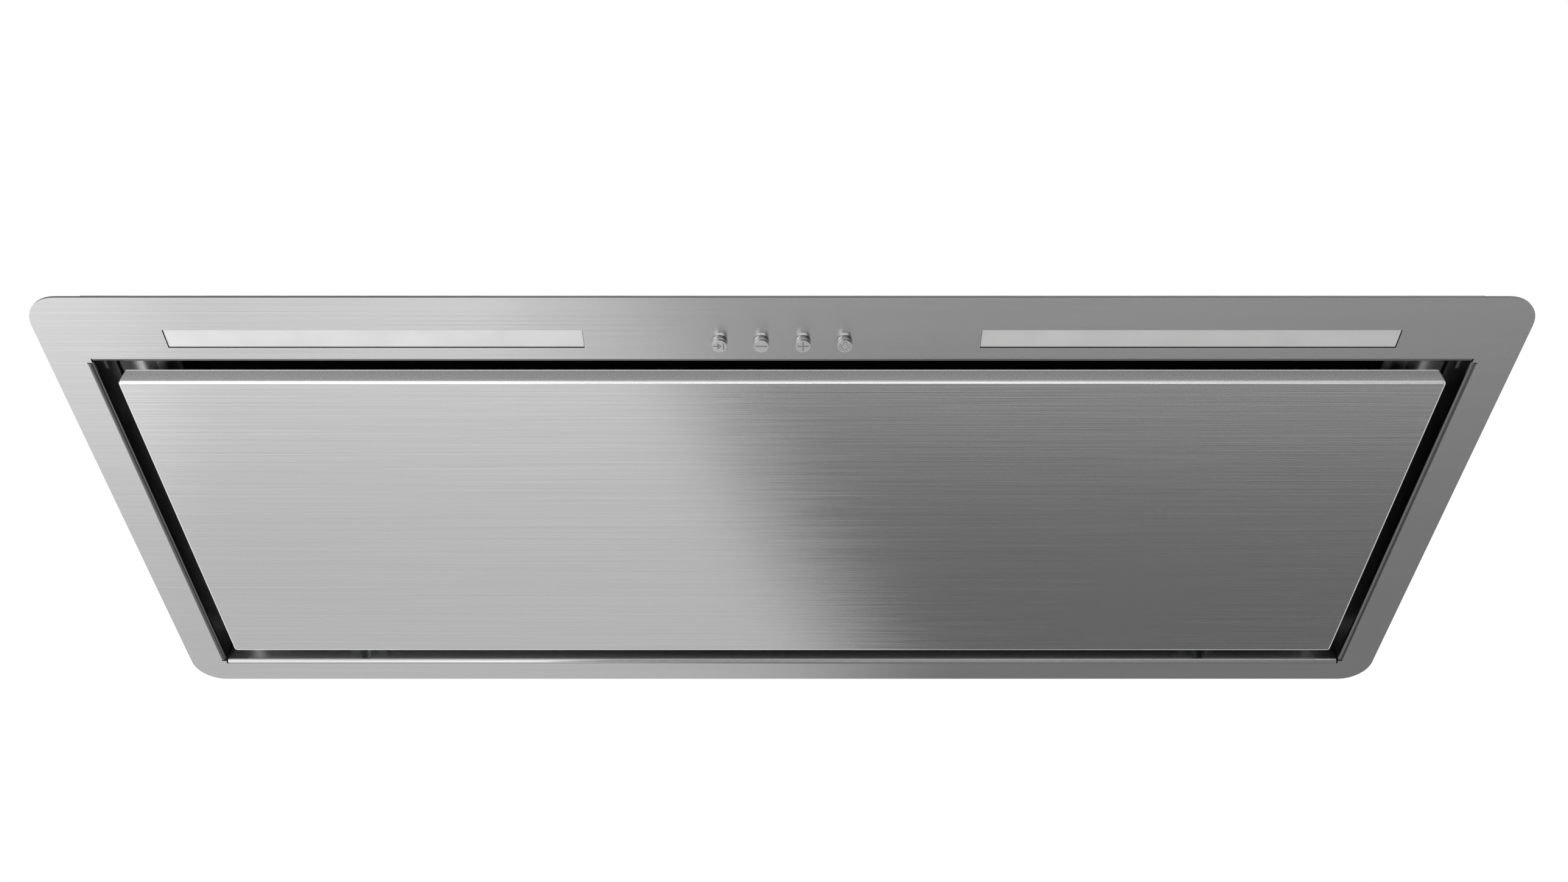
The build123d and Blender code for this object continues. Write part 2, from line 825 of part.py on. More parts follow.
# Impeller: forward-curved blades between a back disc and a front ring, open to the inlet
def make_impeller():
    lead = radians(blade_lead)
    tip = wheel_radius - 0.6
    blade_line = ThreePointArc(
        (blade_root + 0.6, 0),
        ((blade_root + tip) / 2 + 0.9, blade_bow),
        (tip * cos(lead), tip * sin(lead)),
    )
    blade = trace(blade_line, line_width=blade_sheet)
    wheel = rod((wheel_back - wheel_disc, fan_y, fan_z), (1, 0, 0), wheel_radius, wheel_disc)
    start = wheel_ring - wheel_length / 2
    length = wheel_length - wheel_ring - wheel_disc
    pieces = [
        extrude(fan_plane.offset(start) * (Rot(0, 0, i * 360 / blade_count) * blade), length)
        for i in range(blade_count)
    ]
    pieces.append(tube((-wheel_length / 2, fan_y, fan_z), (1, 0, 0), wheel_radius, blade_root, wheel_ring))
    pieces.append(rod((wheel_back - hub_length, fan_y, fan_z), (1, 0, 0), hub_radius, hub_length))
    wheel = wheel + pieces
    return wheel - rod((0, fan_y, fan_z), (1, 0, 0), shaft_radius + 0.02, wheel_length)


def make_motor_shaft():
    start = (wheel_back - hub_length - 3, fan_y, fan_z)
    return rod(start, (1, 0, 0), shaft_radius, motor_end + 6 - start[0])


def make_motor_body():
    start = (motor_start, fan_y, fan_z)
    return tube(start, (1, 0, 0), motor_radius, shaft_radius + running_gap, motor_length)


def make_motor_bracket():
    centre = Vector(motor_start - bracket_sheet, fan_y, fan_z)
    plate = hexagon(centre, (1, 0, 0), bracket_hub, bracket_sheet)
    for start in bracket_screw_starts:
        arm = Vector(*start) - Vector(bracket_sheet, 0, 0) - centre
        length = arm.length + bracket_arm / 2
        bar = Pos(length / 2, 0, bracket_sheet / 2) * Box(length, bracket_arm, bracket_sheet)
        plate += Plane(origin=centre, x_dir=arm, z_dir=(1, 0, 0)) * bar
    return plate - rod((centre.X - 1, fan_y, fan_z), (1, 0, 0), shaft_radius + 4, 2 * bracket_sheet)


def make_grommets():
    return Part() + [
        hexagon((scroll_end, y, z), (1, 0, 0), grommet_radius, grommet_length)
        for x, y, z in bracket_screw_starts
    ]


# Electronics on top of the body box
def box_corners():
    inset = box_wall + boss_reach
    return [
        (box_centre_x + x, box_centre_y + y)
        for x in spread(2, box_width - 2 * inset)
        for y in spread(2, box_depth - 2 * inset)
    ]


def make_control_box():
    base = body_height + body_sheet
    top = base + box_height
    box_y = about(box_centre_y, box_depth)
    box = tray(about(box_centre_x, box_width), box_y, (base, top), box_wall, open_low=False)
    for x, y in box_corners():
        box += block(about(x, 2 * boss_reach), about(y, 2 * boss_reach), (base, top))
    post_z = (base, base + box_wall + board_rise)
    for dx in (-board_posts, 0):
        for dy in (-board_posts, board_posts):
            post_x = about(box_centre_x + dx, board_post)
            box += block(post_x, about(box_centre_y + dy, board_post), post_z)
    start = (box_centre_x, box_centre_y + box_depth / 2 - box_wall - 1, base + gland_height)
    return box - hexagon(start, (0, 1, 0), gland_neck, box_wall + 2)


def make_control_box_lid():
    top = body_height + body_sheet + box_height
    return block(about(box_centre_x, box_width), about(box_centre_y, box_depth), (top, top + lid_height))


def make_control_board():
    low = body_height + body_sheet + box_wall + board_rise
    top = low + board_sheet
    left = box_centre_x - board_posts - board_end
    right = box_centre_x + board_side
    y = about(box_centre_y, 2 * board_posts + board_margin)
    board = block((left, right), y, (low, top))
    parts = left + board_margin
    transformer_y = about(box_centre_y - transformer_shift, transformer_side)
    board += block((parts, parts + transformer_side), transformer_y, (top, top + transformer_height))
    terminal_y = (y[1] - board_margin - terminal_side, y[1] - board_margin)
    board += block((parts, parts + terminal_length), terminal_y, (top, top + terminal_side))
    relay_x = (right - relay_side - board_margin / 2, right - board_margin / 2)
    for dy in spread(2, relay_pitch):
        board += block(relay_x, about(box_centre_y + dy, relay_length), (top, top + relay_height))
    return board


def make_run_capacitor():
    rise = body_height + body_sheet + box_wall + capacitor_radius + seat_gap
    x = box_centre_x + box_width / 2 - box_wall - capacitor_radius - capacitor_gap
    start = (x, box_centre_y - capacitor_length / 2, rise)
    return rod(start, (0, 1, 0), capacitor_radius, capacitor_length)


def make_cable_gland():
    outside = box_centre_y + box_depth / 2
    inside = outside - box_wall
    height = body_height + body_sheet + gland_height
    gland = hexagon((box_centre_x, inside, height), (0, 1, 0), gland_neck, box_wall)
    gland += hexagon((box_centre_x, inside - gland_nut, height), (0, 1, 0), gland_flange, gland_nut)
    gland += hexagon((box_centre_x, outside, height), (0, 1, 0), gland_flange, gland_nut)
    gland += hexagon((box_centre_x, outside + gland_nut, height), (0, 1, 0), gland_neck, gland_dome)
    bore = rod((box_centre_x, inside - gland_nut - 1, height), (0, 1, 0), gland_bore, gland_length() + 2)
    return gland - bore


def gland_length():
    return box_wall + 2 * gland_nut + gland_dome


nodes["trim_frame"] = make_trim_frame()
nodes["recess_ceiling"] = make_recess_ceiling()
nodes["perimeter_panel"] = make_panel()
nodes["panel_stiffener"] = make_stiffener()
nodes["body_box"] = make_body_box()
nodes["motor_tower"] = make_motor_tower()
nodes["tower_flange"] = make_tower_flange()
nodes["outlet_adapter"] = make_outlet_adapter()
nodes["duct_collar"] = make_duct_collar()
nodes["flap_pin"] = make_flap_pin()
nodes["flap_rear"] = make_flap(1, (-50, 50))
nodes["flap_front"] = make_flap(-1, (-25, 25))
nodes["scroll_wrap"] = make_scroll_wrap()
nodes["scroll_side_left"] = make_inlet_side()
nodes["scroll_side_right"] = make_scroll_side(1, back_hole_radius)
nodes["impeller"] = make_impeller()
nodes["motor_shaft"] = make_motor_shaft()
nodes["motor_body"] = make_motor_body()
nodes["motor_bracket"] = make_motor_bracket()
nodes["motor_grommets"] = make_grommets()
nodes["button_carrier"] = make_button_carrier()
nodes["switch_board"] = make_switch_board()
nodes["push_switches"] = make_push_switches()
nodes["control_box"] = make_control_box()
nodes["control_box_lid"] = make_control_box_lid()
nodes["control_board"] = make_control_board()
nodes["run_capacitor"] = make_run_capacitor()
nodes["cable_gland"] = make_cable_gland()
nodes["tower_screws"] = screw_heads(tower_screw_starts, (0, 0, 1))
nodes["bracket_screws"] = screw_heads(bracket_screw_starts, (1, 0, 0))
nodes["hinge_screws"] = screw_heads(hinge_screw_starts, (0, 0, -1))
nodes["lid_screws"] = screw_heads([(x, y, lid_top) for x, y in box_corners()], (0, 0, 1))
for name, x in zip(("timer", "minus", "plus", "lamp"), button_places):
    nodes["button_" + name] = make_button(x)
for name, side in sides.items():
    nodes["light_lens_" + name] = make_lens(side)
    nodes["light_channel_" + name] = make_channel(side)
    nodes["led_board_" + name] = make_led_board(side)
    nodes["panel_magnet_" + name] = make_magnet(side)
    nodes["hinge_bracket_" + name] = make_hinge_bracket(side * hinge_x)
    nodes["hinge_leaf_" + name] = make_hinge_leaf(side * hinge_x)
    nodes["hinge_pin_" + name] = make_hinge_pin(side * hinge_x)
    nodes["filter_frame_" + name] = make_filter_frame(side)
    nodes["filter_mesh_" + name] = make_mesh_pad(side)
    nodes["filter_latch_" + name] = make_filter_latch(side)
    nodes["cabinet_spring_" + name] = make_cabinet_spring(side)

os.makedirs("parts", exist_ok=True)
for name, part in nodes.items():
    export_step(part, "parts/" + name + ".step")
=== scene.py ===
import bpy
import bmesh
from math import pi, radians
from mathutils import Matrix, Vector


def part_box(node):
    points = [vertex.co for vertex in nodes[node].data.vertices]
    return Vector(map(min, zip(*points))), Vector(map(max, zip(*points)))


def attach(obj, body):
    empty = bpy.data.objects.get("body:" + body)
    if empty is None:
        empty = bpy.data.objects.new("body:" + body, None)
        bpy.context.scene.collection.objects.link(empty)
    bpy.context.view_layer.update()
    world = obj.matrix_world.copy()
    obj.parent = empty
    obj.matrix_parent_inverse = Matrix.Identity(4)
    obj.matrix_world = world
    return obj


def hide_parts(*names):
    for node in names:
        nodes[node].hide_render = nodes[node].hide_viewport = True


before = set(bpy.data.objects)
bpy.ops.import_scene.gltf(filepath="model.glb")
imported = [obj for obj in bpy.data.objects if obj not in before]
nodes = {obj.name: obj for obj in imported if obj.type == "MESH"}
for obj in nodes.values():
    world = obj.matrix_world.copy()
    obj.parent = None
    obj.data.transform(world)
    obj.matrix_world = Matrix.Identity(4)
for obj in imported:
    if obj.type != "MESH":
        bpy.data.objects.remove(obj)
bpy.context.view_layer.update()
MM = 0.001


# Colour and shader helpers

def linear(code):
    """A hex colour as it looks on screen, turned to the linear values that the shader wants."""
    out = []
    for i in (1, 3, 5):
        level = int(code[i:i + 2], 16) / 255
        out.append(level / 12.92 if level <= 0.04045 else ((level + 0.055) / 1.055) ** 2.4)
    return (*out, 1.0)


def node(tree, kind, inputs=None, **settings):
    """Adds one node. An input is given a value, or the socket or node that feeds it."""
    made = tree.nodes.new("ShaderNode" + kind)
    for name, value in settings.items():
        setattr(made, name, value)
    for name, value in (inputs or {}).items():
        if isinstance(value, bpy.types.Node):
            value = next(socket for socket in value.outputs if socket.enabled)
        if isinstance(value, bpy.types.NodeSocket):
            tree.links.new(value, made.inputs[name])
        else:
            made.inputs[name].default_value = value
    return made


def new_material(name):
    """A material with nothing in its node tree yet."""
    material = bpy.data.materials.new(name)
    material.use_nodes = True
    material.node_tree.nodes.clear()
    return material, material.node_tree


def tone_between(tree, factor, low, high, dark, light):
    """A colour that goes from dark to light as the factor goes from low to high."""
    share = node(tree, "MapRange", {"Value": factor, "From Min": low, "From Max": high})
    return node(tree, "Mix", {"Factor": share, "A": linear(dark), "B": linear(light)}, data_type="RGBA")


# Metals

opening_side, opening_front, opening_rear = 332.0, 105.2, 126.5     # reach of the frame's folded opening, mm
flat_sheet = 0.9995     # the normal's share along Z, above which a sheet counts as flat


def outside_opening(tree, place):
    """1 where the sheet lies outside the folded opening, 0 within it."""
    side = node(tree, "Math", {0: place.outputs["X"]}, operation="ABSOLUTE")
    side = node(tree, "Math", {0: side, 1: opening_side * MM}, operation="SUBTRACT")
    front = node(tree, "Math", {0: place.outputs["Y"], 1: -1.0, 2: -opening_front * MM}, operation="MULTIPLY_ADD")
    rear = node(tree, "Math", {0: place.outputs["Y"], 1: opening_rear * MM}, operation="SUBTRACT")
    reach = node(tree, "Math", {0: side, 1: front}, operation="MAXIMUM")
    reach = node(tree, "Math", {0: reach, 1: rear}, operation="MAXIMUM")
    return node(tree, "Math", {0: reach, 1: 0.0}, operation="GREATER_THAN")


def brushed_stainless(name, dark, light, rough, anisotropy=1.0, cut=None, lip=False):
    # Austenitic stainless sheet, belt-brushed along the hood's length: fine unbroken lines that
    # run into the bends, a highlight that is drawn out across the lines, soft tone drift.
    material, tree = new_material(name)
    coord = node(tree, "TexCoord")
    place = node(tree, "SeparateXYZ", {0: coord.outputs["Object"]})
    facing = node(tree, "VectorMath", {0: coord.outputs["Normal"]}, operation="ABSOLUTE")
    facing = node(tree, "SeparateXYZ", {0: facing})
    # The lines turn up with the sheet: along Z on the left and right walls, along X on the front and rear ones.
    along = node(tree, "Math", {0: place.outputs["Z"], 1: facing.outputs["X"], 2: place.outputs["X"]},
                 operation="MULTIPLY_ADD")
    across = node(tree, "Math", {0: place.outputs["Z"], 1: facing.outputs["Y"], 2: place.outputs["Y"]},
                  operation="MULTIPLY_ADD")
    flat = node(tree, "CombineXYZ", {"X": along, "Y": across})

    def lines(length_mm, pitch_mm):
        # the real lines are about 0.1 mm apart; the finest here are 0.4 mm, so that they show
        size = node(tree, "Mapping", {"Vector": flat, "Scale": (1000 / length_mm, 1000 / pitch_mm, 1)})
        return node(tree, "TexNoise", {"Vector": size, "Scale": 1.0, "Detail": 2.0, "Roughness": 0.6},
                    noise_dimensions="2D")

    fine = lines(190, 0.4)
    broad = lines(260, 1.6)
    tone = node(tree, "Mix", {"Factor": 0.3, "A": fine, "B": broad})
    colour = tone_between(tree, tone, 0.3, 0.7, dark, light)
    roughness = node(tree, "MapRange", {"Value": fine, "To Min": rough - 0.01, "To Max": rough + 0.02})
    height, strength, metallic = fine, 0.007, 1.0
    if cut:
        # The fold into the opening is painted a darker grey as it tilts up, on the front and side folds but not on
        # the rear one: painted shade that takes the bright reflected line off the bend.
        outside = outside_opening(tree, place)
        turned = node(tree, "MapRange", {"Value": facing.outputs["Z"], "From Min": flat_sheet, "From Max": 0.985})
        turned = node(tree, "Math", {0: turned, 1: outside}, operation="SUBTRACT", use_clamp=True)
        normal = node(tree, "SeparateXYZ", {0: coord.outputs["Normal"]})
        rearward = node(tree, "Math", {0: normal.outputs["Y"], 1: -0.2}, operation="GREATER_THAN")
        painted_fold_shade = node(tree, "Math", {0: turned, 1: rearward}, operation="MULTIPLY")
        colour = node(tree, "Mix", {"Factor": painted_fold_shade, "A": colour, "B": linear("#68686A")}, data_type="RGBA")
        # Laser-cut edges are dull and darker than the brushed face.
        upright = node(tree, "Math", {0: facing.outputs["Z"], 1: 0.5}, operation="LESS_THAN")
        edge = node(tree, "Math", {0: outside, 1: upright}, operation="MULTIPLY")
        colour = node(tree, "Mix", {"Factor": edge, "A": colour, "B": linear(cut)}, data_type="RGBA")
    if lip:
        # The folded lip is bead-blasted rather than brushed: a sparkling grit, duller and less like a
        # mirror than the face. The real grit is 0.1 mm; it is drawn about 0.5 mm coarse, so that it shows.
        grit = node(tree, "TexNoise", {"Vector": coord.outputs["Object"], "Scale": 2300.0, "Detail": 1.5})
        ends = node(tree, "MapRange", {"Value": facing.outputs["Y"], "From Min": 0.85, "From Max": 0.97})
        height = node(tree, "Mix", {"Factor": ends, "A": fine, "B": grit})
        strength = 0.12
        blasted = tone_between(tree, grit, 0.35, 0.65, "#A4A4A4", "#D6D6D6")
        # its upper edge is painted nearly white over the last 0.4 mm: a painted highlight along the top of the lip
        painted_hem_highlight = node(tree, "MapRange", {"Value": place.outputs["Z"], "From Min": 7.0 * MM, "From Max": 7.4 * MM})
        blasted = node(tree, "Mix", {"Factor": painted_hem_highlight, "A": blasted, "B": linear("#FBFBFB")}, data_type="RGBA")
        colour = node(tree, "Mix", {"Factor": ends, "A": colour, "B": blasted}, data_type="RGBA")
        matt = node(tree, "MapRange", {"Value": ends, "To Min": 0.0, "To Max": 0.62})
        roughness = node(tree, "Math", {0: roughness, 1: matt}, operation="ADD", use_clamp=True)
        metallic = node(tree, "MapRange", {"Value": ends, "To Min": 1.0, "To Max": 0.4})
        # The bend is painted nearly white where it rolls over, a painted highlight along the lip's bend, and its
        # gloss is softer there.
        painted_bend_highlight = node(tree, "MapRange", {"Value": facing.outputs["Z"], "From Min": flat_sheet, "From Max": 0.97})
        painted_bend_highlight = node(tree, "Math", {0: painted_bend_highlight, 1: ends}, operation="SUBTRACT", use_clamp=True)
        colour = node(tree, "Mix", {"Factor": painted_bend_highlight, "A": colour, "B": linear("#FCFCFC")}, data_type="RGBA")
        roughness = node(tree, "Math", {0: painted_bend_highlight, 1: 0.14, 2: roughness}, operation="MULTIPLY_ADD")
    bump = node(tree, "Bump", {"Height": height, "Strength": strength, "Distance": 0.4 * MM})
    # the gloss is drawn out along Y on flat sheet, and along Z on the front and rear walls
    level = node(tree, "Math", {0: 1.0, 1: facing.outputs["Y"]}, operation="SUBTRACT")
    tangent = node(tree, "CombineXYZ", {"Y": level, "Z": facing.outputs["Y"]})
    shader = node(tree, "BsdfPrincipled", {"Base Color": colour, "Roughness": roughness, "Metallic": metallic,
                                           "Anisotropic": anisotropy, "Normal": bump, "Tangent": tangent})
    node(tree, "OutputMaterial", {"Surface": shader})
    return material


def plain_metal(name, dark, light, rough, grain_mm=2.0, relief=0.06, spangle_mm=None):
    # Plated, coated or cast metal: an even tone with a slow cloud in it, a fine tooth, and the
    # gloss a little duller where the tone is paler.
    material, tree = new_material(name)
    coord = node(tree, "TexCoord").outputs["Object"]
    cloud = node(tree, "TexNoise", {"Vector": coord, "Scale": 1000 / (grain_mm * 14), "Detail": 4.0})
    tooth = node(tree, "TexNoise", {"Vector": coord, "Scale": 1000 / grain_mm, "Detail": 2.0})
    tone = cloud
    if spangle_mm:
        # hot-dip zinc crystals, some millimetres across, each with its own grey and 1.4 mm feathers in it
        cells = node(tree, "TexVoronoi", {"Vector": coord, "Scale": 1000 / spangle_mm})
        shade = node(tree, "RGBToBW", {0: cells.outputs["Color"]})
        feathers = node(tree, "TexNoise", {"Vector": coord, "Scale": 1000 / 1.4, "Detail": 3.0})
        shade = node(tree, "Mix", {"Factor": 0.35, "A": shade, "B": feathers})
        tone = node(tree, "Mix", {"Factor": 0.45, "A": cloud, "B": shade})
    colour = tone_between(tree, tone, 0.3, 0.7, dark, light)
    roughness = node(tree, "MapRange", {"Value": tone, "To Min": rough - 0.06, "To Max": rough + 0.08})
    bump = node(tree, "Bump", {"Height": tooth, "Strength": relief, "Distance": 0.5 * MM})
    shader = node(tree, "BsdfPrincipled", {"Base Color": colour, "Roughness": roughness, "Metallic": 1.0,
                                           "Normal": bump})
    node(tree, "OutputMaterial", {"Surface": shader})
    return material


def turned_steel(name, dark, light, rough, face):
    # Bar turned on a lathe and polished: rings round the axis so fine that they only soften the highlight, and a
    # flat end face that is satin, and painted paler than the side: painted light on the end face.
    material, tree = new_material(name)
    coord = node(tree, "TexCoord")
    place = node(tree, "SeparateXYZ", {0: coord.outputs["Object"]})
    normal = node(tree, "SeparateXYZ", {0: coord.outputs["Normal"]})
    # tool marks, drawn 0.25 mm apart so that they show
    marks = node(tree, "TexNoise", {"W": place.outputs["Z"], "Scale": 1000 / 0.25, "Detail": 1.0},
                 noise_dimensions="1D")
    end = node(tree, "MapRange", {"Value": normal.outputs["Z"], "From Min": -0.9, "From Max": -0.99})
    side = tone_between(tree, marks, 0.35, 0.65, dark, light)
    # the end face takes the paler face colour: painted light
    colour = node(tree, "Mix", {"Factor": end, "A": side, "B": linear(face)}, data_type="RGBA")
    roughness = node(tree, "MapRange", {"Value": end, "To Min": rough, "To Max": 0.42})
    bump = node(tree, "Bump", {"Height": marks, "Strength": 0.05, "Distance": 0.2 * MM})
    shader = node(tree, "BsdfPrincipled", {"Base Color": colour, "Roughness": roughness, "Metallic": 1.0,
                                           "Normal": bump})
    node(tree, "OutputMaterial", {"Surface": shader})
    return material


# Plastics, coats and the rest

def moulded(name, dark, light, rough, grain_mm=0.8, relief=0.12, metallic=0.0):
    # Moulded, pressed or sprayed surface: an even tone, a fine texture from the tool or the coat.
    material, tree = new_material(name)
    coord = node(tree, "TexCoord").outputs["Object"]
    grain = node(tree, "TexNoise", {"Vector": coord, "Scale": 1000 / grain_mm, "Detail": 2.0})
    cloud = node(tree, "TexNoise", {"Vector": coord, "Scale": 1000 / (grain_mm * 40), "Detail": 3.0})
    colour = tone_between(tree, cloud, 0.35, 0.65, dark, light)
    roughness = node(tree, "MapRange", {"Value": grain, "To Min": rough - 0.05, "To Max": rough + 0.07})
    bump = node(tree, "Bump", {"Height": grain, "Strength": relief, "Distance": 0.3 * MM})
    shader = node(tree, "BsdfPrincipled", {"Base Color": colour, "Roughness": roughness, "Metallic": metallic,
                                           "Normal": bump})
    node(tree, "OutputMaterial", {"Surface": shader})
    return material


def board_with_parts(name, dark, light, level_mm, part, way=1, terminals=None):
    # Lacquered glass-epoxy laminate: a glossy board with its glass cloth just showing. What is
    # soldered on it, past the level on the side that way points to, has its own colour.
    material, tree = new_material(name)
    coord = node(tree, "TexCoord").outputs["Object"]
    place = node(tree, "SeparateXYZ", {0: coord})
    # the glass cloth under the lacquer, 0.6 mm between threads
    cloth = node(tree, "TexNoise", {"Vector": coord, "Scale": 1000 / 0.6, "Detail": 2.0})
    colour = tone_between(tree, cloth, 0.35, 0.65, dark, light)
    on_top = node(tree, "Math", {0: place.outputs["Z"], 1: way, 2: -way * level_mm * MM}, operation="MULTIPLY_ADD")
    on_top = node(tree, "Math", {0: on_top, 1: 0.0}, operation="GREATER_THAN")
    colour = node(tree, "Mix", {"Factor": on_top, "A": colour, "B": linear(part)}, data_type="RGBA")
    if terminals:
        # the screw terminals stand in the board's rear left corner
        right_mm, front_mm, green = terminals
        beside = node(tree, "Math", {0: place.outputs["X"], 1: right_mm * MM}, operation="LESS_THAN")
        behind = node(tree, "Math", {0: place.outputs["Y"], 1: front_mm * MM}, operation="GREATER_THAN")
        block = node(tree, "Math", {0: beside, 1: behind}, operation="MULTIPLY")
        block = node(tree, "Math", {0: block, 1: on_top}, operation="MULTIPLY")
        colour = node(tree, "Mix", {"Factor": block, "A": colour, "B": linear(green)}, data_type="RGBA")
    roughness = node(tree, "MapRange", {"Value": cloth, "To Min": 0.3, "To Max": 0.42})
    bump = node(tree, "Bump", {"Height": cloth, "Strength": 0.1, "Distance": 0.3 * MM})
    shader = node(tree, "BsdfPrincipled", {"Base Color": colour, "Roughness": roughness, "Normal": bump})
    node(tree, "OutputMaterial", {"Surface": shader})
    return material


# The frame's sheet has dull laser-cut edges. The panel's is brushed with a finer belt, so that it mirrors
# the studio more sharply. The sheet inside has a duller brush, and shows as a dark, soft gleam.
# The frame's colours are a shade darker than the panel's: painted shade on the frame.
steel = brushed_stainless("belt_brushed_stainless", "#BDBDBD", "#C7C7C7", 0.20, cut="#58585A")
steel_panel = brushed_stainless("belt_brushed_stainless_panel", "#C6C6C6", "#D0D0D0", 0.165, anisotropy=0.5,
                                lip=True)
steel_inner = brushed_stainless("brushed_stainless_inner", "#B4B4B4", "#C6C6C6", 0.26)
# galvanised by dipping: a mosaic of pale and darker grey crystals
zinc_sheet = plain_metal("hot_dip_galvanised_sheet", "#A4A8AB", "#C2C6C9", 0.40, spangle_mm=6.5)
# electroplated zinc: an even, bright, slightly blue silver
zinc_plate = plain_metal("zinc_plated_steel", "#B4B7BA", "#CDD0D2", 0.30)
# hardened strip: a darker, oily grey
spring_steel = plain_metal("tempered_spring_steel", "#8F9296", "#A9ACB0", 0.32)
# cast in a die: matt, with a sandy skin
cast_alloy = plain_metal("die_cast_aluminium", "#A4A6A8", "#BCBEC0", 0.46, grain_mm=0.9, relief=0.25)
# the face colour is paler than the sides: painted light on the buttons' end faces
button_steel = turned_steel("turned_polished_steel", "#B4B4B4", "#C0C0C0", 0.13, face="#D2D2D2")
# paint filled into the buttons' faces: flat, mid-grey
mark_paint = moulded("grey_marking_paint", "#686868", "#707070", 0.5, grain_mm=0.4, relief=0.05)
# baked powder: deep black, with a slight orange peel; on the filters this black is also painted shade for the dark
# inside the opening
black_coat_and_shade = moulded("black_powder_coat", "#0B0B0C", "#131314", 0.55, grain_mm=0.9, relief=0.3)
# the same powder on thin strands: duller, and drawn into drops; its black is also painted shade for the dark
# inside the opening
black_mesh = moulded("black_coated_mesh", "#060606", "#0E0E0E", 0.6, grain_mm=1.6, relief=0.5)
# injection-moulded housings: satin, with the fine spark texture of the tool
black_abs = moulded("black_moulded_abs", "#151516", "#1D1D1E", 0.42)
grey_abs = moulded("light_grey_moulded_abs", "#C6C8C6", "#D2D4D2", 0.45)
white_abs = moulded("white_moulded_abs", "#DCDCD9", "#E6E6E3", 0.42)
ivory_case = moulded("ivory_moulded_polypropylene", "#D6D6D0", "#E0E0DA", 0.35)
# vulcanised in a mould: matt, dusty black
rubber = moulded("moulded_rubber", "#141414", "#1E1E1E", 0.75, grain_mm=1.2, relief=0.25)
# pressed and fired powder: charcoal, grainy like fine stone
ferrite = moulded("sintered_ferrite", "#222226", "#2E2E32", 0.5, grain_mm=0.6, relief=0.3)
# Cast opal sheet with a satin face: milky, and brighter towards the lamps than a plain white would be,
# because its skin also carries their glow. The metallic value stands for that glow.
frosted = moulded("satin_opal_acrylic", "#C8C8C8", "#CECECE", 0.34, grain_mm=0.5, relief=0.04, metallic=0.5)
# boards: deep green with black parts and green screw terminals, or white with yellow lamps below
board_green = moulded("green_laminate", "#11502E", "#1A6238", 0.35, grain_mm=0.6, relief=0.1)
board_control = board_with_parts("control_board_laminate", "#11502E", "#1A6238", 79.65, "#1C1C1E",
                                 terminals=(-262, 39.5, "#3E8E52"))
board_lights = board_with_parts("white_laminate_with_yellow_lamps", "#DADAD6", "#E6E6E2", 11.15, "#E6C85A", way=-1)

finishes = {
    steel: ["trim_frame"],
    steel_panel: ["perimeter_panel"],
    steel_inner: ["recess_ceiling"],
    zinc_sheet: ["body_box", "motor_tower", "tower_flange", "outlet_adapter", "scroll_wrap", "scroll_side_left",
                 "scroll_side_right", "motor_bracket", "duct_collar", "panel_stiffener"],
    zinc_plate: ["tower_screws", "bracket_screws", "hinge_screws", "lid_screws", "hinge_bracket_left",
                 "hinge_bracket_right", "hinge_leaf_left", "hinge_leaf_right", "hinge_pin_left",
                 "hinge_pin_right", "flap_pin", "motor_shaft"],
    spring_steel: ["cabinet_spring_left", "cabinet_spring_right"],
    button_steel: ["button_timer", "button_minus", "button_plus", "button_lamp"],
    frosted: ["light_lens_left", "light_lens_right"],
    white_abs: ["light_channel_left", "light_channel_right", "push_switches"],
    black_abs: ["button_carrier", "filter_latch_left", "filter_latch_right", "cable_gland", "flap_rear",
                "flap_front", "impeller"],
    grey_abs: ["control_box", "control_box_lid"],
    board_green: ["switch_board"],
    board_control: ["control_board"],
    board_lights: ["led_board_left", "led_board_right"],
    black_coat_and_shade: ["filter_frame_left", "filter_frame_right"],
    black_mesh: ["filter_mesh_left", "filter_mesh_right"],
    cast_alloy: ["motor_body"],
    ivory_case: ["run_capacitor"],
    rubber: ["motor_grommets"],
    ferrite: ["panel_magnet_left", "panel_magnet_right"],
}
for material, names in finishes.items():
    for name in names:
        nodes[name].data.materials.clear()
        nodes[name].data.materials.append(material)


# Modelling helpers; lengths are in millimetres unless a name or a note says otherwise

def begin(name, add, **settings):
    """A primitive at its size and place, in metres, ready to be shaped in edit mode."""
    bpy.ops.object.select_all(action="DESELECT")
    add(**settings)
    piece = bpy.context.object
    piece.name = name
    bpy.ops.object.transform_apply(location=True, rotation=True, scale=True)
    bpy.ops.object.mode_set(mode="EDIT")
    return piece


def box_between(name, x, y, z):
    """A cube stretched between two ends on each axis."""
    middle = [sum(ends) / 2 * MM for ends in (x, y, z)]
    size = [abs(ends[1] - ends[0]) * MM for ends in (x, y, z)]
    return begin(name, bpy.ops.mesh.primitive_cube_add, size=1, location=middle, scale=size)


def disc(name, x, y, z, radius, height, sides, **settings):
    """A short cylinder round its middle."""
    return begin(name, bpy.ops.mesh.primitive_cylinder_add, vertices=sides, radius=radius * MM,
                 depth=height * MM, location=(x * MM, y * MM, z * MM), **settings)


def pick(piece, kind, test):
    """Selects the faces, edges or corners that pass the test, and nothing else."""
    bpy.ops.mesh.select_mode(type=kind)
    bpy.ops.mesh.select_all(action="DESELECT")
    mesh = bmesh.from_edit_mesh(piece.data)
    for part in {"FACE": mesh.faces, "EDGE": mesh.edges, "VERT": mesh.verts}[kind]:
        part.select_set(bool(test(part)))
    bmesh.update_edit_mesh(piece.data)


